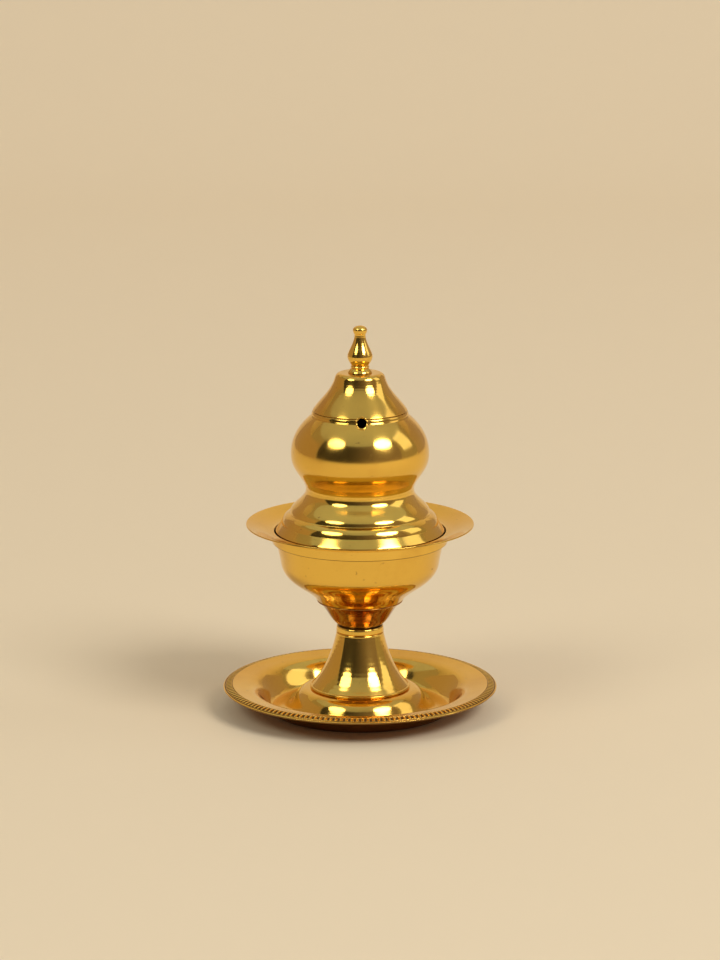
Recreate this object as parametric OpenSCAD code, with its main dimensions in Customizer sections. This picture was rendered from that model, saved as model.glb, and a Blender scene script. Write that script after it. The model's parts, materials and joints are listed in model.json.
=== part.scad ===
// Lidded table incense burner: spun brass shells stacked on one tie rod over a saucer,
// with a lift-off lid and a lift-out charcoal cup.
// Millimetres. The saucer stands on z = 0 and every piece is turned about the +Z axis.

/* [Saucer] */
// Radius of the saucer's outer edge
saucer_r = 76; // [73:1:84]
// Height of the crest of the saucer's beaded band
saucer_h = 14.6; // [14.2:0.2:17]
// Width of the beaded band, from its crest to the edge
band_w = 5.4; // [4:0.2:7]
// Outer radius of the flat ring that the saucer stands on
stand_r = 48.6; // [46:0.2:52]
// Height of the raised boss under the foot
boss_h = 12.2; // [11.8:0.2:13]
// Thickness of the saucer's sheet
saucer_sheet = 0.9; // [0.7:0.1:1]

/* [Foot and stem] */
// Radius of the foot where it stands on the boss
foot_base_r = 27.6; // [26:0.2:28]
// Radius of the foot's top
foot_top_r = 13.2; // [12.6:0.1:14]
// Height of the foot
foot_h = 32.2; // [28:0.2:38]
// Height of the turned ring between the foot and the cone
neck_h = 3.6; // [3:0.2:5]
// Height of the cone that carries the bowl
cone_h = 14.4; // [13:0.2:18]
// Radius of the rolled lip at the top of the cone
cone_lip_r = 23.8; // [23.4:0.1:26]

/* [Bowl] */
// Outer radius of the bowl's collar
collar_r = 48.3; // [47.6:0.1:50]
// Height of the bowl, from the cone's lip to the top of its collar
bowl_h = 38.6; // [37:0.2:44]
// Height of the collar above the ledge that the lid rests on
collar_h = 5.5; // [5:0.5:8]
// Outer radius of the flat rim
rim_r = 62.8; // [58:0.2:68]
// Rise of the rim from the mouth to its edge
rim_rise = 4.1; // [2:0.1:5]
// Thickness of the spun brass of the foot, cone and bowl
body_sheet = 0.9; // [0.7:0.1:1]

/* [Lid] */
// Gap between the lid's skirt and the inside of the collar
lid_gap = 0.9; // [0.6:0.1:1.2]
// Height of the lid's skirt, from its lower edge to the waist
skirt_h = 29; // [28:0.5:34]
// Outer radius of the waist between skirt and bulb
waist_r = 29.8; // [29:0.1:31]
// Outer radius of the bulb
bulb_r = 38; // [36.5:0.1:40]
// Height of the bulb, from the waist to the groove under the cap
bulb_h = 43.6; // [42:0.2:48]
// Height of the bell-shaped cap
cap_h = 21; // [19:0.5:24]
// Radius of the cap's flat top
cap_top_r = 10.8; // [10:0.1:12]
// Number of smoke holes round the shoulder of the bulb
smoke_holes = 3; // [1:1:6]
// Diameter of a smoke hole
smoke_hole_d = 5.5; // [3:0.5:6]
// Turn of the first smoke hole away from the front
smoke_hole_turn = 2; // [-30:1:30]
// Thickness of the lid's sheet
lid_sheet = 0.8; // [0.6:0.1:0.9]

/* [Finial] */
// Height of the finial above the cap
finial_h = 26; // [24:0.5:30]
// Largest radius of the finial's pear
finial_r = 6.9; // [6:0.1:8]

/* [Charcoal cup] */
// Radius of the cup's flat floor, which holds a charcoal disc
cup_floor_r = 20; // [18:0.5:21]
// Depth of the cup
cup_depth = 17.6; // [14:0.2:18]
// Number of air holes round the cup's wall
air_holes = 12; // [6:1:16]
// Diameter of an air hole
air_hole_d = 4; // [2:0.5:5]

/* [Fasteners] */
// Diameter of the tie rod through saucer, foot, neck, cone and bowl
rod_d = 5; // [4:0.5:5]
// Width of the tie rod's hex nuts across their flats
rod_nut_af = 8; // [8:0.5:10]
// Diameter of the stud on the finial
stud_d = 4; // [3:0.5:4]
// Width of the finial's hex nut across its flats
stud_nut_af = 7; // [7:0.5:8]

/* [Hidden] */
$fn = 96;

// Clearance round the rod and the stud
hole_gap = 0.25;
rod_hole_r = rod_d / 2 + hole_gap;
stud_hole_r = stud_d / 2 + hole_gap;

// Heights of the stack, from the saucer up
neck_z = boss_h + foot_h;
cone_z = neck_z + neck_h;
bowl_z = cone_z + cone_h;
mouth_z = bowl_z + bowl_h;
ledge_z = mouth_z - collar_h;
bowl_floor_z = bowl_z + body_sheet;

// Heights of the lid, which rests on the ledge inside the collar
lid_z = ledge_z + body_sheet;
waist_z = lid_z + skirt_h;
groove_z = waist_z + bulb_h;
cap_top_z = groove_z + cap_h;
top_z = cap_top_z + finial_h;
skirt_r = collar_r - body_sheet - lid_gap;

// Saucer
well_r = stand_r - 6.1;
boss_r = foot_base_r + 0.6;
crest_r = saucer_r - band_w;
saucer_edge = [saucer_r, saucer_h - 1.5];

// Foot bead and cone lip
bead_h = 1.7;
cone_corner_r = foot_top_r - 0.9;

// Cap and smoke holes
cap_base_r = 25.95;
smoke_z = groove_z - 1.7;

// Charcoal cup, on a stand ring that clears the upper nut
stand_ring_h = 7.7;
cup_z = bowl_floor_z + stand_ring_h;
cup_wall_r = cup_floor_r + 12.4;

// Washers and nuts
washer_h = 1;
washer_r = 8;
rod_nut_h = 4;
rod_end = 1.5;
stud_washer_r = 5;
stud_washer_h = 0.8;
stud_nut_h = 3.2;

// A point on the curve from a to b that leaves along handle ha and arrives along handle hb
function curve_point(a, ha, hb, b, t) =
    pow(1 - t, 3) * a + 3 * t * pow(1 - t, 2) * (a + ha)
    + 3 * t * t * (1 - t) * (b + hb) + pow(t, 3) * b;

// The curve from a to b as steps + 1 points
function curve(a, ha, hb, b, steps = 8) =
    [for (i = [0:steps]) curve_point(a, ha, hb, b, i / steps)];

// An arc round centre c from angle a0 to a1, in degrees
function arc(c, r, a0, a1, steps = 4) =
    [for (i = [0:steps]) let (a = a0 + (a1 - a0) * i / steps) c + r * [cos(a), sin(a)]];

function unit(v) = v / norm(v);
function left_of(v) = [-v[1], v[0]];

// The direction of a line at point i: the sum of the unit steps before and after it
function step_at(line, i) =
    let (n = len(line) - 1)
    let (before = i > 0 ? unit(line[i] - line[i - 1]) : unit(line[1] - line[0]))
    let (after = i < n ? unit(line[i + 1] - line[i]) : unit(line[n] - line[n - 1]))
    (before + after) / (1 + before * after);

// The line moved to its left by t, with mitred corners
function beside(line, t) =
    [for (i = [0:len(line) - 1]) line[i] + t * left_of(step_at(line, i))];

function backwards(line) = [for (i = [len(line) - 1:-1:0]) line[i]];

// The line without its first point, to carry on from a line that ends there
function onward(line) = [for (i = [1:len(line) - 1]) line[i]];

// A closed section: one face of the sheet, and the same line t to its left on the way back
function sheet_section(line, t) = concat(line, backwards(beside(line, t)));

// Turns a section of [radius, height] points about the axis
module turned(section) {
    rotate_extrude() polygon(section);
}

module at_each(count, start = 0) {
    for (i = [0:count - 1]) rotate([0, 0, start + i * 360 / count]) children();
}

module washer(z, r, h, hole_r) {
    turned([[hole_r, z], [r, z], [r, z + h], [hole_r, z + h]]);
}

// A hex nut whose corners are chamfered by a cone at both ends
module hex_nut(z, af, h, hole_r) {
    corner_r = af / 2 / cos(30);
    bevel = corner_r - af / 2;
    translate([0, 0, z]) difference() {
        intersection() {
            cylinder(h = h, r = corner_r, $fn = 6);
            turned([[0, 0], [af / 2, 0], [corner_r, bevel / 2],
                    [corner_r, h - bevel / 2], [af / 2, h], [0, h]]);
        }
        translate([0, 0, -h]) cylinder(h = 3 * h, r = hole_r);
    }
}

// A wide dish with a raised boss under the foot and a rounded band at the edge
module saucer() {
    dome = curve([boss_r, boss_h], [9.5, 0], [-7.5, 0], [well_r, saucer_sheet], 14);
    cavetto = curve([stand_r, saucer_sheet], [4.2, 0], [-7.4, -1.4],
                    [crest_r - 9, saucer_h - 1.6], 12);
    flange = [[crest_r, saucer_h]];
    band = curve([crest_r + 0.6, saucer_h], [1.2, -0.2], [-1.6, 0.7],
                 saucer_edge + [-0.3, 0.3], 4);
    top = concat([[rod_hole_r, boss_h]], dome, cavetto, flange, band, [saucer_edge]);
    color("goldenrod") turned(sheet_section(top, -saucer_sheet));
}

// A trumpet with a closed top and a rounded bead where it stands on the boss
module foot() {
    bead_z = boss_h + bead_h;
    corner = arc([foot_top_r - 1, neck_z - 1], 1, 90, 0);
    flare = curve([foot_top_r, neck_z - 1.2], [2.4, -11], [-7.6, 8.3],
                  [foot_base_r - 0.7, bead_z], 12);
    wall = concat([[rod_hole_r, neck_z]], corner, flare);
    bead = arc([foot_base_r - 0.7, boss_h + bead_h / 2], bead_h / 2, 60, -90, 6);
    base_inside = [[foot_base_r - 1.9, boss_h]];
    inside = backwards(beside(wall, -body_sheet));
    color("darkgoldenrod") turned(concat(wall, bead, base_inside, inside));
}

// A turned ring with one rounded shoulder between foot and cone
module neck_ring() {
    round_r = 1.2;
    shoulder = arc([foot_top_r - round_r - 0.2, cone_z - round_r], round_r, 0, 90);
    color("goldenrod") turned(concat(
        [[rod_hole_r, neck_z], [foot_top_r - 0.3, neck_z], [foot_top_r, neck_z + 0.4]],
        shoulder, [[rod_hole_r, cone_z]]));
}

// A funnel with a closed floor and a rolled lip that the bowl stands on
module cone() {
    lip_r = 0.35;
    corner = curve([cone_corner_r - 1.6, cone_z], [0.9, 0], [-0.5, -0.5],
                   [cone_corner_r + 0.2, cone_z + 0.7], 4);
    side = curve([cone_corner_r + 0.2, cone_z + 0.7], [4.7, 3.5], [-4.4, -3.5],
                 [cone_lip_r - 1, bowl_z - 0.8]);
    wall = concat([[rod_hole_r, cone_z]], corner, onward(side));
    lip = arc([cone_lip_r - lip_r, bowl_z - lip_r], lip_r, -90, 90, 6);
    inside = backwards(beside(wall, body_sheet));
    color("peru") turned(concat(wall, lip, [[cone_lip_r - 1.9, bowl_z]], inside));
}

// A round bowl with a flat floor, and a straight collar above the ledge for the lid
module bowl() {
    belly = [collar_r - 4.5, bowl_z + 21.7];
    ledge = [collar_r - 2.1, ledge_z];
    under = curve([cone_lip_r - 0.2, bowl_z], [5.2, 8.3], [-1.6, -11.8], belly, 12);
    side = curve(belly, [0.5, 3.8], [-0.8, -3.6], ledge, 6);
    round_r = 0.4;
    collar = concat(arc([collar_r - round_r, ledge_z + round_r], round_r, -90, 0, 3),
                    [[collar_r, mouth_z]]);
    wall = concat([[rod_hole_r, bowl_z]], under, onward(side), collar);
    color("goldenrod") turned(sheet_section(wall, body_sheet));
}

// A wide dished ring that stands on top of the collar
module bowl_rim() {
    inner_r = collar_r - body_sheet;
    rim_sheet = 0.7;
    under = concat([[inner_r, mouth_z], [collar_r + 0.6, mouth_z]],
        curve([collar_r + 1.2, mouth_z + 0.06], [3.6, 0.3], [-5, -1.3],
              [rim_r, mouth_z + rim_rise], 6));
    color("goldenrod") turned(sheet_section(under, rim_sheet));
}

// One rod with chamfered ends clamps the saucer, foot, neck, cone and bowl together
module tie_rod() {
    foot_z = boss_h - saucer_sheet - washer_h - rod_nut_h - rod_end;
    head_z = bowl_floor_z + washer_h + rod_nut_h + rod_end;
    r = rod_d / 2;
    bevel = 0.6;
    color("lightsteelblue") turned([[0, foot_z], [r - bevel, foot_z], [r, foot_z + bevel],
        [r, head_z - bevel], [r - bevel, head_z], [0, head_z]]);
}

module lower_washer() {
    color("lightsteelblue")
        washer(boss_h - saucer_sheet - washer_h, washer_r, washer_h, rod_hole_r);
}

module lower_nut() {
    z = boss_h - saucer_sheet - washer_h - rod_nut_h;
    color("lightsteelblue") hex_nut(z, rod_nut_af, rod_nut_h, rod_d / 2);
}

module upper_washer() {
    color("lightsteelblue") washer(bowl_floor_z, washer_r, washer_h, rod_hole_r);
}

module upper_nut() {
    color("lightsteelblue")
        hex_nut(bowl_floor_z + washer_h, rod_nut_af, rod_nut_h, rod_d / 2);
}

// A flat-floored cup with a turned-out lip and a ring of air holes
module charcoal_cup() {
    lip_z = cup_z + cup_depth;
    side = curve([cup_floor_r, cup_z], [7, 0], [-0.5, -9], [cup_wall_r, lip_z - 2.4], 10);
    lip = curve([cup_wall_r + 0.1, lip_z - 1.4], [0.3, 0.9], [-1, 0],
                [cup_wall_r + 3, lip_z - body_sheet], 4);
    wall = concat([[0, cup_z]], side, lip);
    color("darkgoldenrod") difference() {
        turned(sheet_section(wall, body_sheet));
        at_each(air_holes) translate([cup_floor_r, 0, cup_z + cup_depth / 2])
            rotate([0, 90, 0]) cylinder(h = cup_floor_r, d = air_hole_d);
    }
}

// A short ring that holds the cup clear of the upper nut
module cup_stand() {
    r = cup_floor_r - 3;
    foot_w = 1.6;
    color("darkgoldenrod") turned([
        [r - foot_w, bowl_floor_z], [r + foot_w, bowl_floor_z],
        [r + foot_w, bowl_floor_z + body_sheet], [r, bowl_floor_z + body_sheet],
        [r, cup_z], [r - body_sheet, cup_z],
        [r - body_sheet, bowl_floor_z + body_sheet], [r - foot_w, bowl_floor_z + body_sheet]]);
}

// The bulging face of a turned step on the skirt, from its foot upwards
function step_face(foot, r) = arc(foot - r * [cos(12), sin(12)], r, 12, 37, 5);

// The lid's flared skirt, with two turned steps, from its lower edge to the waist
module lid_skirt() {
    upper_foot = [skirt_r - 7.8, waist_z - 13.3];
    lower_foot = [skirt_r - 3.2, waist_z - 19];
    upper_face = step_face(upper_foot, 7);
    lower_face = step_face(lower_foot, 9);
    hem = curve([skirt_r, lid_z + 5.5], [-0.2, 0.4], [1.6, -2.2], lower_foot + [0.2, -0.25], 5);
    ledge = curve(lower_face[5], [-0.7, 0.8], [0.9, -0.5], upper_foot + [0.25, -0.2], 5);
    flare = curve(upper_face[5], [-2.6, 3.4], [0, -4.2], [waist_r, waist_z - 0.4], 10);
    wall = concat([[skirt_r, lid_z]], hem, lower_face, onward(ledge), upper_face,
                  onward(flare), [[waist_r, waist_z]]);
    color("goldenrod") turned(sheet_section(wall, lid_sheet));
}

// The smoke holes are drilled level, through the seam between bulb and cap
module smoke_bores() {
    at_each(smoke_holes, smoke_hole_turn) translate([0, -cap_base_r / 2, smoke_z])
        rotate([90, 0, 0]) cylinder(h = cap_base_r, d = smoke_hole_d);
}

// The onion-shaped bulb, from the waist to the groove under the cap
module lid_bulb() {
    widest = [bulb_r, waist_z + 19.5];
    crease = [waist_r + 1.4, waist_z + 4.4];
    neck = curve([waist_r, waist_z + 0.5], [0, 1.4], [-0.5, -1.2], crease, 4);
    under = curve(crease, [3.4, 5.4], [0, -6.7], widest, 12);
    over = curve(widest, [0, 8.9], [6.9, -5.9], [cap_base_r + 1.1, groove_z - 2.8], 14);
    edge = curve([cap_base_r + 0.7, groove_z - 2], [-0.1, 0.9], [0.6, -0.1],
                 [cap_base_r - 0.35, groove_z], 5);
    wall = concat([[waist_r, waist_z]], neck, onward(under), onward(over));
    inside = backwards(beside(wall, lid_sheet));
    color("goldenrod") difference() {
        turned(concat(wall, edge, [[cap_base_r - 1.3, groove_z]], inside));
        smoke_bores();
    }
}

// The bell-shaped cap, from the groove to the flat top that carries the finial
module lid_cap() {
    shoulder = [cap_top_r + 3.1, cap_top_z - 3];
    side = curve([cap_base_r, groove_z + 0.4], [-4, 5.9], [2, -7.2], shoulder, 14);
    round_over = curve(shoulder, [-0.3, 1.4], [1.9, 0], [cap_top_r, cap_top_z], 6);
    wall = concat(side, onward(round_over), [[stud_hole_r, cap_top_z]]);
    inside = backwards(onward(beside(wall, lid_sheet)));
    color("goldenrod") difference() {
        turned(concat([[cap_base_r - 0.35, groove_z]], wall, inside,
                      [[cap_base_r - 1.3, groove_z]]));
        smoke_bores();
    }
}

// A turned pear with a button on top, a bead under it, and a stud through the cap
module finial() {
    stud_z = cap_top_z - lid_sheet - stud_washer_h - stud_nut_h - 1;
    base_r = 6.6;
    bead_z = cap_top_z + 3.4;
    widest = [finial_r, cap_top_z + 9.2];
    button_r = 3.95;
    button_z = top_z - 2.4;
    base = curve([base_r, cap_top_z + 0.5], [-0.3, 0.9], [0.3, -0.3], [4.7, bead_z - 0.7], 4);
    bead = arc([4.5, bead_z], 0.65, -70, 70, 5);
    belly = curve([4.7, bead_z + 0.8], [1.1, 1.6], [0, -1.9], widest, 6);
    pear = curve(widest, [0, 2.3], [0, -4.3], [3.05, top_z - 5.2], 10);
    under_button = curve([3.2, top_z - 4.5], [0.5, 0.4], [-0.2, -0.8], [button_r, button_z], 4);
    crown = curve([button_r, button_z], [-0.1, 1.5], [2, 0], [0, top_z], 7);
    color("goldenrod") turned(concat(
        [[0, stud_z], [stud_d / 2, stud_z], [stud_d / 2, cap_top_z], [base_r, cap_top_z]],
        base, bead, belly, onward(pear), under_button, onward(crown)));
}

module finial_washer() {
    z = cap_top_z - lid_sheet - stud_washer_h;
    color("lightsteelblue") washer(z, stud_washer_r, stud_washer_h, stud_hole_r);
}

module finial_nut() {
    z = cap_top_z - lid_sheet - stud_washer_h - stud_nut_h;
    color("lightsteelblue") hex_nut(z, stud_nut_af, stud_nut_h, stud_d / 2);
}

saucer();
foot();
neck_ring();
cone();
bowl();
bowl_rim();
tie_rod();
lower_washer();
lower_nut();
upper_washer();
upper_nut();
charcoal_cup();
cup_stand();
lid_skirt();
lid_bulb();
lid_cap();
finial();
finial_washer();
finial_nut();
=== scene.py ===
# %% [markdown]
# # A lidded table incense burner in polished brass
#
# The real burner is a stack of spun shells. A disc of brass is pressed over a turning
# former on a lathe until it is a saucer, a foot, a bowl or a lid, so nearly every piece
# is one outline turned about one axis. This lesson cuts that outline out of the packed
# CAD part, rounds its corners as a polisher would, and turns it again at a far finer
# step. The sizes then stay the CAD part's own, and the light runs over smooth metal.

# %% Load the frame
import json
import math

import bpy
from mathutils import Matrix, Vector

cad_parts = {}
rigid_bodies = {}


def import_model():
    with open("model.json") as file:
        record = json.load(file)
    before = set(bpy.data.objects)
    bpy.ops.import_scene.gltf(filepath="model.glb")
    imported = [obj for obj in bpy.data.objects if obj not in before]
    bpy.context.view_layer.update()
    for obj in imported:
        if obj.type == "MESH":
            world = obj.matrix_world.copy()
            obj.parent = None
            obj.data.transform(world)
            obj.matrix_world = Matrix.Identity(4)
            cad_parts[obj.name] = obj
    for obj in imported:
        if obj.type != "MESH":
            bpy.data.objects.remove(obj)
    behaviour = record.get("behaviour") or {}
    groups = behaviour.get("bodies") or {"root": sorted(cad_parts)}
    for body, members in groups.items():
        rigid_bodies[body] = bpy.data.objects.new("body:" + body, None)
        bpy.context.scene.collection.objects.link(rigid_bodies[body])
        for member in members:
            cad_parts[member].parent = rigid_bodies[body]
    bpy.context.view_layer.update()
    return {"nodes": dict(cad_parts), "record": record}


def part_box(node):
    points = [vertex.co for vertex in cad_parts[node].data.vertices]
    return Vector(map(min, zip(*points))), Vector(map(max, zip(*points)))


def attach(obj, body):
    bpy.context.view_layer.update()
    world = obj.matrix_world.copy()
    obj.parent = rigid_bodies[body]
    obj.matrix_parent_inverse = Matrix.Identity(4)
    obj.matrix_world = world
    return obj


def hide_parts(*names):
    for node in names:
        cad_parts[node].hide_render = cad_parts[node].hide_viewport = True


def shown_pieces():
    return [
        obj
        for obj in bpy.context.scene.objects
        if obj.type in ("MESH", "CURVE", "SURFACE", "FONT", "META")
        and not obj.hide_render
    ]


MM = 0.001
WELD = 0.002 * MM  # vertices closer than this become one
NEAR_AXIS = 0.01 * MM
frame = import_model()
bpy.ops.object.select_all(action="DESELECT")
nodes_of = frame["record"]["behaviour"]["bodies"]
print("nodes on each body:", {name: len(nodes) for name, nodes in nodes_of.items()})

# %% [markdown]
# ## Working on one piece at a time
#
# An operator acts on whatever is selected, and the loaded nodes start out selected. So
# each step first lets go of everything and takes up one piece. Vertices are picked out
# in code by a rule on their place, which stands for the box select of a hand modeller.


# %% Take up a piece, pick its vertices, draw a line
def take_up(piece):
    if bpy.context.object and bpy.context.object.mode != "OBJECT":
        bpy.ops.object.mode_set(mode="OBJECT")
    bpy.ops.object.select_all(action="DESELECT")
    piece.select_set(True)
    bpy.context.view_layer.objects.active = piece


def pick(piece, rule):
    bpy.ops.object.mode_set(mode="EDIT")
    bpy.ops.mesh.select_mode(type="VERT")
    bpy.ops.mesh.select_all(action="DESELECT")
    bpy.ops.object.mode_set(mode="OBJECT")
    for vertex in piece.data.vertices:
        vertex.select = rule(vertex.co)
    bpy.ops.object.mode_set(mode="EDIT")


def draw_line(points):
    """One vertex, from a merged plane, is extruded from point to point."""
    bpy.ops.mesh.primitive_plane_add(size=MM)
    bpy.ops.object.mode_set(mode="EDIT")
    bpy.ops.mesh.merge(type="CENTER")
    bpy.ops.transform.translate(value=points[0])
    for here, there in zip(points, points[1:]):
        bpy.ops.mesh.extrude_region_move(TRANSFORM_OT_translate={"value": there - here})
    bpy.ops.object.mode_set(mode="OBJECT")
    return bpy.context.object


# %% [markdown]
# ## The outline of a spun piece
#
# A CAD node is a mesh of loose triangles. A copy of it is merged and bisected by the
# plane through the axis, and clearing both sides leaves only the line of the cut. Half
# of that line is the outline that the lathe followed. Where a row of air holes would
# meet the plane, the copy is turned a little first, so that the cut misses them.


# %% Cut the outline out of a CAD node
def cut_outline(node, turn=0.0):
    mesh = frame["nodes"][node].data.copy()
    mesh.transform(Matrix.Rotation(-turn, 4, "Z"))
    piece = bpy.data.objects.new(node + "_outline", mesh)
    bpy.context.scene.collection.objects.link(piece)
    take_up(piece)
    bpy.ops.object.mode_set(mode="EDIT")
    bpy.ops.mesh.select_all(action="SELECT")
    bpy.ops.mesh.remove_doubles(threshold=WELD)
    bpy.ops.mesh.bisect(plane_co=(0, 0, 0), plane_no=(0, 1, 0), threshold=WELD,
                        clear_inner=True, clear_outer=True)
    pick(piece, lambda co: co.x < -NEAR_AXIS)
    bpy.ops.mesh.delete(type="VERT")
    bpy.ops.mesh.select_all(action="SELECT")
    bpy.ops.mesh.remove_doubles(threshold=WELD)
    bpy.ops.object.mode_set(mode="OBJECT")
    return piece


def reach_axis(line):
    """An open outline starts and ends on the axis itself."""
    for end in (0, -1):
        on_axis = Vector((0, 0, line[end].z))
        if line[end].x > NEAR_AXIS:
            line.insert(0 if end == 0 else len(line), on_axis)
        else:
            line[end] = on_axis


def points_in_order(piece):
    """The outline's points from end to end, and whether it closes on itself."""
    joined = {vertex.index: [] for vertex in piece.data.vertices}
    for edge in piece.data.edges:
        a, b = edge.vertices
        joined[a].append(b)
        joined[b].append(a)
    ends = [index for index, others in joined.items() if len(others) == 1]
    here, before = (ends or [0])[0], None
    line, closed = [], not ends
    while here is not None:
        line.append(piece.data.vertices[here].co.copy())
        onward = [other for other in joined[here] if other != before]
        before, here = here, (onward[0] if onward else None)
        if closed and len(line) == len(joined):
            break
    assert len(line) == len(joined), (piece.name, len(line), len(joined))
    if not closed:
        reach_axis(line)
    return line, closed


trial = cut_outline("bowl")
print("points round the bowl's outline:", len(points_in_order(trial)[0]))
bpy.data.objects.remove(trial)

# %% [markdown]
# ## Smooth between the points, sharp at the corners
#
# The CAD outline is made of short straight steps. A mirror finish would show each step,
# so the points become the points of a Bezier curve. Where the outline bends gently, the
# handles follow the circle through a point and its two neighbours. At a corner, and
# beside a long straight run, the handles point straight along the steps instead.

# %% Draw the curve through the outline
CORNER = math.radians(24)
LONG_RUN = 2.6


def tangent(before, here, after):
    """The direction at here of the circle through three points, or None at a corner."""
    one, two = here - before, after - here
    if one.angle(two) > CORNER:
        return None
    if one.length > LONG_RUN * two.length:
        return one.normalized()
    if two.length > LONG_RUN * one.length:
        return two.normalized()
    return (one.normalized() * two.length + two.normalized() * one.length).normalized()


def smooth_outline(piece, steps=4):
    line, closed = points_in_order(piece)
    name = piece.name
    bpy.data.objects.remove(piece)
    bpy.ops.curve.primitive_bezier_curve_add()
    curve = bpy.context.object
    curve.name = name
    spline = curve.data.splines[0]
    spline.bezier_points.add(len(line) - 2)
    spline.use_cyclic_u = closed
    curve.data.resolution_u = steps
    count = len(line)
    for i, (point, here) in enumerate(zip(spline.bezier_points, line)):
        before, after = line[i - 1], line[(i + 1) % count]
        open_end = not closed and i in (0, count - 1)
        along = None if open_end else tangent(before, here, after)
        point.handle_left_type = point.handle_right_type = "FREE"
        point.co = here
        left, right = (before - here) / 3, (after - here) / 3
        point.handle_left = here + (left if along is None else -along * left.length)
        point.handle_right = here + (right if along is None else along * right.length)
    take_up(curve)
    bpy.ops.object.convert(target="MESH")
    return bpy.context.object


# %% [markdown]
# ## Turn the outline
#
# Every corner of the outline gets a small round, which catches the light as a buffed
# edge does. Then Spin carries the outline round the axis. Its last step meets its
# first, so doubles are merged, and the normals are made to point out of the metal.

# %% Round the corners and spin
AROUND = 192


def corners(piece):
    neighbours = {vertex.index: [] for vertex in piece.data.vertices}
    for edge in piece.data.edges:
        a, b = edge.vertices
        neighbours[a].append(piece.data.vertices[b].co)
        neighbours[b].append(piece.data.vertices[a].co)
    found = set()
    for vertex in piece.data.vertices:
        near = neighbours[vertex.index]
        if len(near) == 2 and (vertex.co - near[0]).angle(near[1] - vertex.co) > CORNER:
            found.add(tuple(vertex.co))
    return found


def round_corners(piece, radius):
    sharp = corners(piece)
    take_up(piece)
    pick(piece, lambda co: tuple(co) in sharp)
    bpy.ops.mesh.bevel(offset=radius, segments=4, affect="VERTICES", clamp_overlap=True)
    bpy.ops.object.mode_set(mode="OBJECT")
    return len(sharp)


def spin_shell(piece, around=AROUND):
    take_up(piece)
    bpy.ops.object.mode_set(mode="EDIT")
    bpy.ops.mesh.select_all(action="SELECT")
    bpy.ops.mesh.spin(steps=around, angle=2 * math.pi, center=(0, 0, 0), axis=(0, 0, 1))
    bpy.ops.mesh.select_all(action="SELECT")
    bpy.ops.mesh.remove_doubles(threshold=WELD)
    bpy.ops.mesh.normals_make_consistent(inside=False)
    bpy.ops.object.mode_set(mode="OBJECT")
    bpy.ops.object.shade_smooth_by_angle(angle=math.radians(32))


def body_of(node):
    return next(body for body, nodes in nodes_of.items() if node in nodes)


def place(piece, node):
    """The piece stands for its CAD node and moves with the node's body."""
    piece.name = piece.data.name = "brass_" + node
    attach(piece, body_of(node))
    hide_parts(node)
    return piece


def turned_again(node, edge=0.2 * MM, turn=0.0):
    piece = smooth_outline(cut_outline(node, turn))
    count = round_corners(piece, edge)
    spin_shell(piece)
    print(f"{node}: {count} rounded corners, {len(piece.data.polygons)} faces")
    return place(piece, node)


# %% [markdown]
# ## Foot, neck, cone, bowl and rim
#
# These are plain turned pieces. The rim, the foot and the neck ring are buffed to a
# softer round than the cone and the bowl.

# %% Turn the burner's pieces
foot = turned_again("foot", 0.25 * MM)
neck_ring = turned_again("neck_ring", 0.25 * MM)
cone = turned_again("cone")
bowl = turned_again("bowl")
bowl_rim = turned_again("bowl_rim", 0.25 * MM)

# %% [markdown]
# ## The saucer and its beaded band
#
# The saucer's band is beaded: a row of short radial ribs is pressed in all round, with
# dark gaps between them and a plain edge outside. The sheet itself dips under the ribs,
# so the saucer's outline is lowered there before it is turned. The ribs are one closed
# ring, turned at eight steps to a rib, and the steps between ribs are pushed down.

# %% Turn the saucer with a dip for the beading
BEADING_INNER, BEADING_OUTER = 70.9 * MM, 75.1 * MM
BEADING_WIDTH = BEADING_OUTER - BEADING_INNER
DIP = 0.55 * MM

saucer = smooth_outline(cut_outline("saucer"), steps=6)
take_up(saucer)
pick(saucer, lambda co: BEADING_INNER < co.x < BEADING_OUTER)
bpy.ops.transform.translate(value=(0, 0, -DIP))
bpy.ops.object.mode_set(mode="OBJECT")
round_corners(saucer, 0.2 * MM)
spin_shell(saucer)
place(saucer, "saucer")
print("saucer:", len(saucer.data.polygons), "faces")

# %% [markdown]
# One rib is only three millimetres long, so a hundred and sixty of them are cheap when
# each is eight steps of a spin. The ring's section is an arch over a flat floor that
# lies inside the saucer's sheet. Pushing down the arch at the steps between two ribs
# leaves rounded ribs with a dark groove at each side.

# %% Turn the ring of ribs
RIBS = 160
STEPS_PER_RIB = 8
FLOOR_DROP = 0.7 * MM
DROP = {0: 0.62 * MM, 1: 0.5 * MM, 7: 0.5 * MM, 2: 0.16 * MM, 6: 0.16 * MM}
ARCH = {  # share of the band's width: height in mm over the band's own curve
    0.0: -0.75, 0.04: -0.3, 0.1: -0.06, 0.2: 0.0, 0.35: 0.0, 0.5: 0.0, 0.65: 0.0,
    0.8: -0.03, 0.9: -0.12, 0.96: -0.32, 1.0: -0.75}
BAND_FALL = 0.95 * MM
band_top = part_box("saucer")[1].z + 0.1 * MM


def share_of_band(radius):
    """0 at the beading's inner edge and 1 at its outer edge."""
    return (radius - BEADING_INNER) / BEADING_WIDTH


def rib_height(radius):
    """The top of the band over the ribs: level at first, then falling to the edge."""
    share = share_of_band(radius)
    return band_top - share * share * BAND_FALL


arch = []
for share, rise in ARCH.items():
    radius = BEADING_INNER + BEADING_WIDTH * share
    arch.append(Vector((radius, 0, rib_height(radius) + rise * MM)))
beading = draw_line(arch)
bpy.ops.object.mode_set(mode="EDIT")
bpy.ops.mesh.select_all(action="SELECT")
bpy.ops.mesh.edge_face_add()
bpy.ops.mesh.delete(type="ONLY_FACE")
bpy.ops.object.mode_set(mode="OBJECT")
spin_shell(beading, RIBS * STEPS_PER_RIB)


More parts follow.
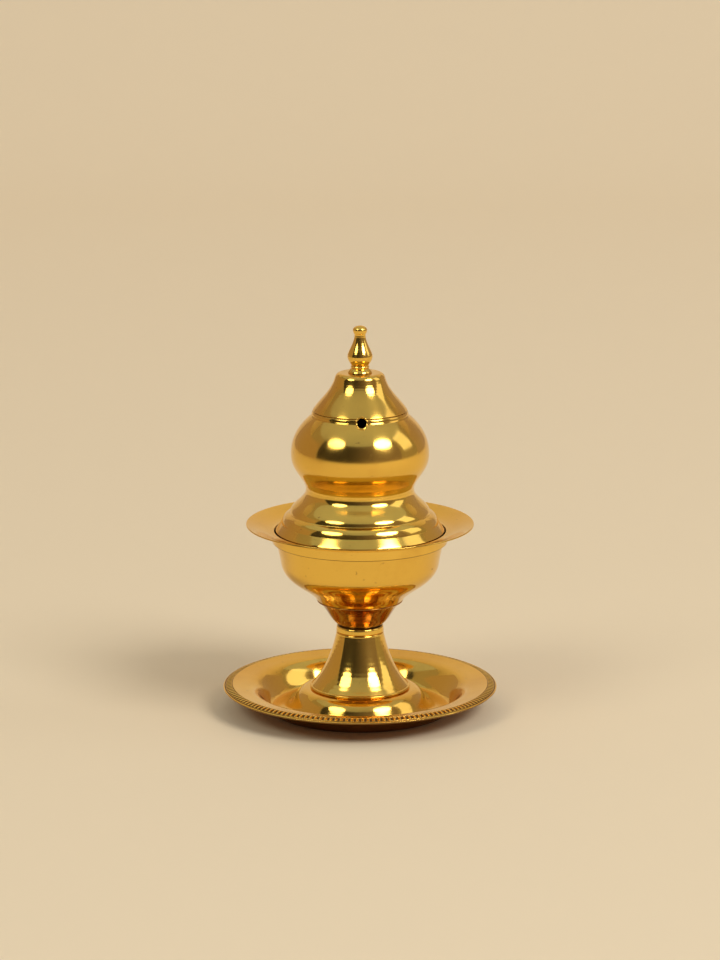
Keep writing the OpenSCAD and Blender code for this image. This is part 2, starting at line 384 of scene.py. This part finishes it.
def step_of(co):
    """Which of the steps of its rib a vertex lies on; step 0 is between two ribs."""
    turn = math.atan2(co.y, co.x) / (2 * math.pi)
    return round(turn * RIBS * STEPS_PER_RIB) % STEPS_PER_RIB


def on_arch(co):
    """True on the part of the ring that the ribs take up, above its flat floor."""
    radius = math.hypot(co.x, co.y)
    over_floor = co.z > rib_height(radius) - FLOOR_DROP
    return 0.15 < share_of_band(radius) < 0.85 and over_floor


for depth in sorted(set(DROP.values())):
    pick(beading, lambda co: on_arch(co) and DROP.get(step_of(co)) == depth)
    bpy.ops.transform.translate(value=(0, 0, -depth))
bpy.ops.object.mode_set(mode="OBJECT")
bpy.ops.object.shade_smooth_by_angle(angle=math.radians(50))
beading.name = beading.data.name = "brass_saucer_beading"
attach(beading, "burner")
print("beading:", RIBS, "ribs,", len(beading.data.polygons), "faces")

# %% [markdown]
# ## The cup's stand
#
# The cup holds the burning charcoal and lifts out of the bowl with the short ring that
# it stands on. The cup's CAD node already has its rounded wall and its ring of drilled
# air holes, so it stays as it is and only gets a finish. The stand is turned again.

# %% Turn the cup's stand
cup_stand = turned_again("cup_stand")
charcoal_cup = frame["nodes"]["charcoal_cup"]
cup_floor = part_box("charcoal_cup")[0].z
print("the cup's floor is at", round(cup_floor / MM, 2), "mm")

# %% [markdown]
# ## Tools for drilling
#
# A drill is modelled once, copied round the axis, and taken away from a shell with a
# Boolean modifier. Each piece keeps its place in its mesh and its object at the origin.


# %% Join, copy round the axis, take away, put the place into the mesh
def joined(name, meshes):
    """One piece made of several meshes."""
    pieces = [bpy.data.objects.new(name, mesh) for mesh in meshes]
    for piece in pieces:
        bpy.context.scene.collection.objects.link(piece)
    take_up(pieces[0])
    for piece in pieces:
        piece.select_set(True)
    bpy.ops.object.join()
    return pieces[0]


def copies_round(piece, count, start=0.0):
    """Joins count copies of a piece, each turned further about the axis."""
    meshes = []
    for i in range(count):
        mesh = piece.data.copy()
        mesh.transform(Matrix.Rotation(start + i * 2 * math.pi / count, 4, "Z"))
        meshes.append(mesh)
    name = piece.name
    bpy.data.objects.remove(piece)
    return joined(name, meshes)


def take_away(piece, cutter):
    modifier = piece.modifiers.new("Drilled", "BOOLEAN")
    modifier.operation, modifier.solver, modifier.object = "DIFFERENCE", "EXACT", cutter
    take_up(piece)
    bpy.ops.object.modifier_apply(modifier=modifier.name)
    bpy.data.objects.remove(cutter)
    bpy.ops.object.shade_smooth_by_angle(angle=math.radians(32))


def into_mesh(piece):
    """Puts the piece's place, turn and size into its mesh."""
    take_up(piece)
    bpy.ops.object.transform_apply(location=True, rotation=True, scale=True)
    return piece


# %% [markdown]
# ## The lid and its smoke holes
#
# The lid is three spun shells soldered in a row: skirt, bulb and cap. Three smoke holes
# are drilled level through the seam between bulb and cap. The drill leaves a raised
# bright ring round each hole. The ring is a circle that Shrinkwrap lays on the shoulder
# of the lid before the hole is cut, and a curve's bevel then gives it a round section.

# %% Turn the lid
SMOKE_HOLES = 3
SMOKE_HOLE_TURN = math.radians(2)
SMOKE_HOLE_R = 2.5 * MM
HOLES_BELOW_SEAM = 1.7 * MM
RING_R, RING_WIRE_R = 2.95 * MM, 0.5 * MM

lid_skirt = turned_again("lid_skirt")
lid_bulb = turned_again("lid_bulb")
lid_cap = turned_again("lid_cap")
finial = turned_again("finial", 0.15 * MM)
seam_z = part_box("lid_bulb")[1].z
smoke_z = seam_z - HOLES_BELOW_SEAM

# %% Lay a bright ring round each smoke hole
IN_FRONT = 40 * MM

shoulder = joined("shoulder", [shell.data.copy() for shell in (lid_bulb, lid_cap)])
bpy.ops.mesh.primitive_circle_add(vertices=64, radius=RING_R, rotation=(math.pi / 2, 0, 0),
                                  location=(0, -IN_FRONT, smoke_z))
ring = into_mesh(bpy.context.object)
wrap = ring.modifiers.new("Laid_on", "SHRINKWRAP")
wrap.wrap_method, wrap.target = "PROJECT", shoulder
wrap.use_project_y = True
wrap.use_positive_direction, wrap.use_negative_direction = True, False
bpy.ops.object.modifier_apply(modifier=wrap.name)
bpy.ops.object.convert(target="CURVE")
ring.data.bevel_depth, ring.data.bevel_resolution = RING_WIRE_R, 3
bpy.ops.object.convert(target="MESH")
rings_of_holes = copies_round(bpy.context.object, SMOKE_HOLES, SMOKE_HOLE_TURN)
bpy.data.objects.remove(shoulder)
bpy.ops.object.shade_smooth()
rings_of_holes.name = rings_of_holes.data.name = "brass_smoke_hole_rings"
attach(rings_of_holes, "lid")
print("rings:", len(rings_of_holes.data.polygons), "faces, lowest point in mm:",
      round(min(vertex.co.z for vertex in rings_of_holes.data.vertices) / MM, 2))

# %% Drill the smoke holes
DRILL_LENGTH, DRILL_OUT = 20 * MM, 26 * MM

for shell in (lid_bulb, lid_cap):
    bpy.ops.mesh.primitive_cylinder_add(
        vertices=48, radius=SMOKE_HOLE_R, depth=DRILL_LENGTH,
        rotation=(math.pi / 2, 0, 0), location=(0, -DRILL_OUT, smoke_z))
    drill = into_mesh(bpy.context.object)
    take_away(shell, copies_round(drill, SMOKE_HOLES, SMOKE_HOLE_TURN))
    print(shell.name, "drilled:", len(shell.data.polygons), "faces")

# %% [markdown]
# ## Shader sums
#
# A finish is easier to read as a sum than as a web of nodes. This small class wraps a
# socket, and each sign used on it adds the Math node that works it out. Colours are
# mixed with Mix nodes, because a Math node would turn them grey.


# %% A socket that can be used in sums
class Signal:
    def __init__(self, tree, socket=None):
        self.tree, self.socket = tree, socket

    def node(self, kind, settings=None, sockets=None, output=0):
        made = self.tree.nodes.new(kind)
        for name, value in (settings or {}).items():
            if name == "stops":
                ramp = made.color_ramp.elements
                while len(ramp) < len(value):
                    ramp.new(0.5)
                for stop, (position, colour) in zip(ramp, value):
                    stop.position, stop.color = position, colour
            else:
                setattr(made, name, value)
        for key, value in (sockets or {}).items():
            if isinstance(value, Signal):
                self.tree.links.new(value.socket, made.inputs[key])
            else:
                made.inputs[key].default_value = value
        return Signal(self.tree, made.outputs[output])

    def math(self, operation, *values):
        return self.node("ShaderNodeMath", {"operation": operation},
                         dict(enumerate(values)))

    def __add__(self, other):
        return self.math("ADD", self, other)

    __radd__ = __add__

    def __sub__(self, other):
        return self.math("SUBTRACT", self, other)

    def __rsub__(self, other):
        return self.math("SUBTRACT", other, self)

    def __mul__(self, other):
        return self.math("MULTIPLY", self, other)

    __rmul__ = __mul__

    def __truediv__(self, other):
        return self.math("DIVIDE", self, other)

    def __pow__(self, other):
        return self.math("POWER", self, other)

    def absolute(self):
        return self.math("ABSOLUTE", self)

    def between(self, low, high):
        """0 below low, 1 above high, smooth between."""
        return self.node("ShaderNodeMapRange", {"interpolation_type": "SMOOTHSTEP"},
                         {"Value": self, "From Min": low, "From Max": high})

    def blend(self, one, two):
        """The colour one where this mask is 0 and two where it is 1."""
        return self.node("ShaderNodeMix", {"data_type": "RGBA"},
                         {"Factor": self, 6: one, 7: two}, output=2)


def colour(red, green, blue):
    return (red, green, blue, 1.0)


# %% [markdown]
# ## What a turned surface remembers
#
# Buffing on the lathe leaves faint lines that run round the axis. Such a line depends
# only on the distance from the axis and the height, so noise that reads those two
# numbers draws rings on any of the pieces. Ordinary noise in three dimensions gives the
# smudges of handling and the slight waves of hand-spun sheet.


# %% Lines, smudges and waves
def parts_of(vector):
    """The three numbers of a vector."""
    return [vector.node("ShaderNodeSeparateXYZ", sockets={0: vector}, output=i)
            for i in range(3)]


def places(tree):
    """Object coordinates, the distance from the axis, and the height."""
    spot = Signal(tree).node("ShaderNodeTexCoord", output=3)
    x, y, z = parts_of(spot)
    return spot, (x * x + y * y) ** 0.5, z


def rings(radius, height, per_metre, detail=2.0):
    """Noise that is the same all round the axis."""
    spot = radius.node("ShaderNodeCombineXYZ", sockets={0: radius, 1: height})
    return radius.node("ShaderNodeTexNoise", {"noise_dimensions": "2D"},
                       {"Vector": spot, "Scale": per_metre, "Detail": detail})


def noise(spot, per_metre, detail=3.0, roughness=0.5):
    return spot.node("ShaderNodeTexNoise", sockets={
        "Vector": spot, "Scale": per_metre, "Detail": detail, "Roughness": roughness})


def bumps(relief, depth):
    """Turns a relief into a normal; depth is what a relief of 1 stands for."""
    return relief.node("ShaderNodeBump", sockets={
        "Strength": 1.0, "Distance": depth, "Height": relief})


def new_finish(name, metallic=0.0):
    material = bpy.data.materials.new(name)
    material.use_nodes = True
    shader = material.node_tree.nodes["Principled BSDF"]
    shader.inputs["Metallic"].default_value = metallic
    return material, material.node_tree, shader


def feed(tree, shader, base, roughness, normal):
    for key, value in (("Base Color", base), ("Roughness", roughness),
                       ("Normal", normal)):
        tree.links.new(value.socket, shader.inputs[key])


# %% [markdown]
# ## Polished brass, where the polish ends, and painted shade
#
# One recipe makes all the brass. Its colour drifts a little between a warm and a deep
# gold, its highlights are drawn out across the turned lines, and painted shade darkens
# the narrow creases. The kinds differ in their worn and shaded places: the inside of
# bowl and lid is sooted, the saucer's underside was never polished, the ribs have
# painted shade down in their gaps, and the cone under the bowl is browned by heat.

# %% Polished brass
SHINY, HOLLOW, UNDERSIDE, BEADED, TARNISHED = (
    "Polished_brass", "Brass_with_sooted_inside", "Brass_with_dull_underside",
    "Beaded_brass", "Browned_brass")
# The ribs' entry is painted shade in the gaps between them; the others are soot, an
# unpolished underside and browning.
WORN_AND_SHADED = {  # the colour of the worn places, how fully it covers, and the added roughness
    HOLLOW: (colour(0.1, 0.062, 0.036), 0.92, 0.3),
    UNDERSIDE: (colour(0.24, 0.1, 0.03), 0.92, 0.3),
    BEADED: (colour(0.13, 0.055, 0.018), 0.95, 0.3),
    TARNISHED: (colour(0.4, 0.18, 0.075), 0.9, 0.02)}
# Each crease below gets a dark line of painted shade: its height, and how dark it is.
CREASES = {  # height of each dirty crease: how dark it is
    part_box("lid_skirt")[0].z - 0.8 * MM: 0.9, seam_z: 0.5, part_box("neck_ring")[1].z: 1.0}
WARM_GOLD, DEEP_GOLD = colour(0.92, 0.595, 0.115), colour(0.76, 0.43, 0.075)
# The second colour is the painted shade of the creases.
SPECK_BROWN, CREASE_SHADE = colour(0.4, 0.2, 0.06), colour(0.07, 0.03, 0.012)


def painted_crease_shade(height):
    """1 in the narrow creases, where a dark line of painted shade goes."""
    lines = 0.0
    for crease, strength in CREASES.items():
        away = (height - crease).absolute()
        lines = lines + (1 - away.between(0.12 * MM, 0.42 * MM)) * strength
    return lines


def worn_and_shaded_places(kind, tree, spot, radius, height):
    """1 where the brass isn't polished, inside and underneath, and where shade is painted
    down between the ribs.
    """
    # Painted shade: the ribs are darkened down in their gaps.
    if kind == BEADED:
        return (rib_height(radius) - height).between(0.06 * MM, 0.3 * MM)
    if kind == TARNISHED:
        return noise(spot, 60.0, detail=4.0).between(0.2, 0.6)
    facing = parts_of(Signal(tree).node("ShaderNodeTexCoord", output=1))
    if kind == UNDERSIDE:
        return (0 - facing[2]).between(0.1, 0.5)
    x, y, z = parts_of(spot)
    outwards = (facing[0] * x + facing[1] * y) / radius
    return (0.05 - outwards).between(0.0, 0.15) * (1 - facing[2].between(0.45, 0.6))


def polished_brass(kind):
    material, tree, shader = new_finish(kind, metallic=1.0)
    shader.inputs["Anisotropic"].default_value = 0.75
    shader.inputs["Anisotropic Rotation"].default_value = 0.25
    spot, radius, height = places(tree)
    fine = rings(radius, height, 2600.0)
    coarse = rings(radius, height, 520.0, detail=3.0)
    smudge = noise(spot, 34.0, detail=5.0, roughness=0.6).between(0.45, 0.75)
    cloud = noise(spot, 13.0, detail=2.0)
    speck = noise(spot, 420.0, detail=2.0).between(0.7, 0.76)
    base = (cloud.between(0.35, 0.75) * 0.55 + smudge * 0.45).blend(WARM_GOLD, DEEP_GOLD)
    base = (speck * 0.5).blend(base, SPECK_BROWN)
    roughness = 0.08 + smudge * 0.08 + coarse * 0.06 + speck * 0.15
    # Soot, an unpolished underside, browning, and painted shade in the rib gaps darken these
    # places.
    if kind in WORN_AND_SHADED:
        worn_and_shade_colour, cover, rougher = WORN_AND_SHADED[kind]
        dull = worn_and_shaded_places(kind, tree, spot, radius, height)
        base = (dull * cover).blend(base, worn_and_shade_colour)
        roughness = roughness + dull * rougher
    # Painted shade: a dark, rougher line in each narrow crease.
    crease_shade = painted_crease_shade(height)
    base = (crease_shade * 0.85).blend(base, CREASE_SHADE)
    roughness = roughness + crease_shade * 0.3
    waves = noise(spot, 48.0, detail=1.0)
    normal = bumps(fine * 0.3 + coarse * 1.1 + waves * 7.0, 0.0035 * MM)
    feed(tree, shader, base, roughness, normal)
    return material


brasses = {kind: polished_brass(kind) for kind in (SHINY, *WORN_AND_SHADED)}
print({kind: len(made.node_tree.nodes) for kind, made in brasses.items()}, "nodes")

# %% [markdown]
# ## Inside the burner
#
# The cup and its stand live next to burning charcoal. Their brass has lost its polish:
# it is dull, browned, and grey with soot near the coal. The rod, nuts and washers that
# clamp the stack are plated steel, with fine scratches and a soft sheen.


# %% Heat-stained brass and plated steel
def heat_stained_brass():
    material, tree, shader = new_finish("Heat_stained_brass", metallic=1.0)
    spot, radius, height = places(tree)
    lines = rings(radius, height, 900.0, detail=3.0)
    stain = noise(spot, 55.0, detail=6.0, roughness=0.62)
    soot = noise(spot, 120.0, detail=5.0, roughness=0.7)
    depth = 1.0 - height.between(cup_floor - 4 * MM, cup_floor + 15 * MM)
    tint = stain.node("ShaderNodeValToRGB", {"stops": [
        (0.3, colour(0.62, 0.36, 0.11)), (0.48, colour(0.42, 0.2, 0.07)),
        (0.6, colour(0.3, 0.14, 0.1)), (0.72, colour(0.2, 0.15, 0.14))]}, {0: stain})
    grime = soot.between(0.42, 0.62) * (0.25 + depth * 0.7)
    base = grime.blend(tint, colour(0.05, 0.042, 0.036))
    roughness = 0.3 + stain * 0.2 + grime * 0.3
    feed(tree, shader, base, roughness, bumps(lines * 2.0 + soot * 6.0, 0.012 * MM))
    return material


def plated_steel():
    material, tree, shader = new_finish("Plated_steel", metallic=1.0)
    spot, radius, height = places(tree)
    lines = rings(radius, height, 1800.0)
    wear = noise(spot, 180.0, detail=4.0)
    base = wear.between(0.3, 0.75).blend(colour(0.62, 0.61, 0.58),
                                         colour(0.42, 0.4, 0.37))
    roughness = 0.2 + wear * 0.22
    feed(tree, shader, base, roughness, bumps(lines * 1.5 + wear * 2.0, 0.01 * MM))
    return material


stained, steel = heat_stained_brass(), plated_steel()
print(stained.name, steel.name)

# %% [markdown]
# ## Who wears which finish
#
# Each turned piece is plain polished brass unless it is named here. The cup and its
# stand are heat-stained, and what is left of the loaded nodes is the steel of the clamp.

# %% Give every piece its finish
kinds = {"brass_saucer": UNDERSIDE, "brass_saucer_beading": BEADED, "brass_bowl": HOLLOW,
         "brass_lid_skirt": HOLLOW, "brass_lid_bulb": HOLLOW, "brass_lid_cap": HOLLOW,
         "brass_cone": TARNISHED}
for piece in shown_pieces():
    if piece in (charcoal_cup, cup_stand):
        finish = stained
    elif piece in frame["nodes"].values():
        finish = steel
    else:
        finish = brasses[kinds.get(piece.name, SHINY)]
    piece.data.materials.clear()
    piece.data.materials.append(finish)
    print(piece.name, "->", finish.name)

# %% [markdown]
# ## The studio
#
# The burner stands on a sheet of pale paper that curves up far behind it. The paper
# glows faintly towards the back, so it stays pale where the softboxes hardly reach.

# %% Floor and paper sweep
PAPER = colour(0.82, 0.69, 0.49)
PAPER_WIDTH, PAPER_DEPTH, PAPER_MIDDLE = 14, 11, -2.5
PAPER_RISE, SWEEP_R = 4.5, 1.1
BACK_EDGE = PAPER_MIDDLE + PAPER_DEPTH / 2 - 0.1


def stage_finish(name, base, glow=0.0):
    material, _, shader = new_finish(name)
    shader.inputs["Roughness"].default_value = 0.9
    shader.inputs["Specular IOR Level"].default_value = 0.1
    shader.inputs["Base Color"].default_value = base
    shader.inputs["Emission Color"].default_value = base
    shader.inputs["Emission Strength"].default_value = glow
    return material


bpy.ops.mesh.primitive_plane_add(size=1, location=(0, 0, 0))
paper = bpy.context.object
paper.name = "Paper_sweep"
paper.scale = (PAPER_WIDTH, PAPER_DEPTH, 1)
paper.location = (0, PAPER_MIDDLE, 0)
into_mesh(paper)
pick(paper, lambda co: co.y > BACK_EDGE)
bpy.ops.mesh.select_mode(type="EDGE")
bpy.ops.mesh.extrude_region_move(TRANSFORM_OT_translate={"value": (0, 0, PAPER_RISE)})
pick(paper, lambda co: co.y > BACK_EDGE and co.z < 0.1)
bpy.ops.mesh.bevel(offset=SWEEP_R, segments=24, affect="EDGES")
bpy.ops.object.mode_set(mode="OBJECT")
bpy.ops.object.shade_smooth()
pale_paper = stage_finish("Pale_paper", PAPER, 0.12)
tree = pale_paper.node_tree
back = parts_of(Signal(tree).node("ShaderNodeTexCoord", output=3))[1].between(-0.4, 2.2)
tree.links.new(back.blend(colour(0, 0, 0), PAPER).socket,
               tree.nodes["Principled BSDF"].inputs["Emission Color"])
paper.data.materials.append(pale_paper)
print("paper:", [round(v, 2) for v in paper.dimensions])

# %% [markdown]
# ### Cards for the metal to mirror
#
# A mirror shows its room, so polished metal is shaded by what stands round it. A wide
# dark card in front gives it its dark middle, a brown one at each side keeps its edges
# from fading into the paper, and a grey one overhead cools the faces that look up. The
# camera doesn't see them.


# %% Cards that only the metal sees
def card(name, radius, from_deg, to_deg, low, high, near, far):
    """An upright curved card round the burner; angles run from the front to the right.

    Its glow changes from the colour near at its left to far at its right. Spin turns
    clockwise for a positive angle, so the angle is taken backwards.
    """
    start = math.radians(from_deg - 90)
    upright = Vector((radius * math.cos(start), radius * math.sin(start), low))
    piece = draw_line([upright, upright + Vector((0, 0, high - low))])
    bpy.ops.object.mode_set(mode="EDIT")
    bpy.ops.mesh.select_all(action="SELECT")
    bpy.ops.mesh.spin(steps=24, angle=math.radians(from_deg - to_deg), center=(0, 0, 0),
                      axis=(0, 0, 1))
    bpy.ops.object.mode_set(mode="OBJECT")
    material, tree, shader = new_finish(name)
    x = parts_of(Signal(tree).node("ShaderNodeTexCoord", output=3))[0]
    glow = x.between(-0.5 * radius, 0.95 * radius).blend(near, far)
    tree.links.new(glow.socket, shader.inputs["Emission Color"])
    shader.inputs["Base Color"].default_value = colour(0.02, 0.02, 0.02)
    shader.inputs["Roughness"].default_value = 0.9
    shader.inputs["Emission Strength"].default_value = 1.0
    piece.name = name
    piece.data.materials.append(material)
    piece.visible_camera = False
    xs = [vertex.co.x for vertex in piece.data.vertices]
    ys = [vertex.co.y for vertex in piece.data.vertices]
    print(name, "x", round(min(xs), 2), round(max(xs), 2), "y", round(min(ys), 2),
          round(max(ys), 2))
    return piece


card("Dark_card", 5.2, -77, 74, 0.02, 4.75, colour(0.03, 0.026, 0.026),
     colour(0.24, 0.185, 0.17))
brown_left, brown_right = colour(0.4, 0.28, 0.18), colour(0.4, 0.3, 0.23)
card("Left_side_card", 2.8, -150, -79, 0.02, 1.7, brown_left, brown_left)
card("Right_side_card", 2.8, 112, 150, 0.02, 1.7, brown_right, brown_right)
bpy.ops.mesh.primitive_circle_add(vertices=48, radius=5.6, fill_type="NGON",
                                  location=(0, -0.8, 5.0))
ceiling = bpy.context.object
ceiling.name = "Ceiling_card"
into_mesh(ceiling)
ceiling.data.materials.append(stage_finish("Ceiling", colour(0.42, 0.465, 0.53), 0.68))
ceiling.visible_camera = False
print("cards placed")

# %% [markdown]
# ### Softboxes
#
# Two round softboxes stand in front, at the left and at the right, and the right one is
# the stronger. A tall pale panel beyond it draws a bright upright patch on each curve.

# %% Softboxes and world
BURNER_MIDDLE = Vector((0, 0, 0.1))


def softbox(name, azimuth, elevation, distance, width, height, shape, glow, tint):
    """glow is the brightness of the light's face, so its power follows from its area."""
    data = bpy.data.lights.new(name, "AREA")
    data.shape, data.size, data.size_y = shape, width, height
    area = width * height * (math.pi / 4 if shape in ("DISK", "ELLIPSE") else 1)
    data.energy = glow * area * math.pi
    data.color = tint
    light = bpy.data.objects.new(name, data)
    bpy.context.scene.collection.objects.link(light)
    a, e = math.radians(azimuth), math.radians(elevation)
    way = Vector((math.sin(a) * math.cos(e), -math.cos(a) * math.cos(e), math.sin(e)))
    light.location = BURNER_MIDDLE + way * distance
    light.rotation_euler = (-way).to_track_quat("-Z", "Y").to_euler()
    return light


softbox("Left_softbox", -50, 42, 4.2, 2.05, 1.6, "ELLIPSE", 4.9, (1.0, 0.97, 0.86))
softbox("Right_softbox", 48, 42, 4.2, 2.1, 1.65, "ELLIPSE", 11.2, (1.0, 0.98, 0.95))
softbox("Right_panel", 93, 31, 4.3, 1.75, 2.35, "RECTANGLE", 1.0, (0.95, 0.95, 1.0))

world = bpy.data.worlds.new("Room")
world.use_nodes = True
room = world.node_tree.nodes["Background"]
room.inputs["Color"].default_value = colour(0.66, 0.56, 0.42)
room.inputs["Strength"].default_value = 0.55
bpy.context.scene.world = world
bpy.context.scene.view_settings.view_transform = "Standard"
bpy.context.scene.view_settings.exposure = -0.08

# %% [markdown]
# ## The camera
#
# A long lens from two metres away keeps the ellipses of the rims flat and calm. It
# looks down on the burner by about thirteen degrees.

# %% Camera
CAMERA_PLACE = (0, -1.9509, 0.5702)
CAMERA_TILT = 77.28

camera_data = bpy.data.cameras.new("Camera")
camera_data.lens = 136.5
camera_data.sensor_width = 36
camera = bpy.data.objects.new("Camera", camera_data)
camera.location = CAMERA_PLACE
camera.rotation_euler = (math.radians(CAMERA_TILT), 0, 0)
bpy.context.scene.collection.objects.link(camera)
bpy.context.scene.camera = camera
print("camera looks down by", round(90 - CAMERA_TILT, 2), "degrees")
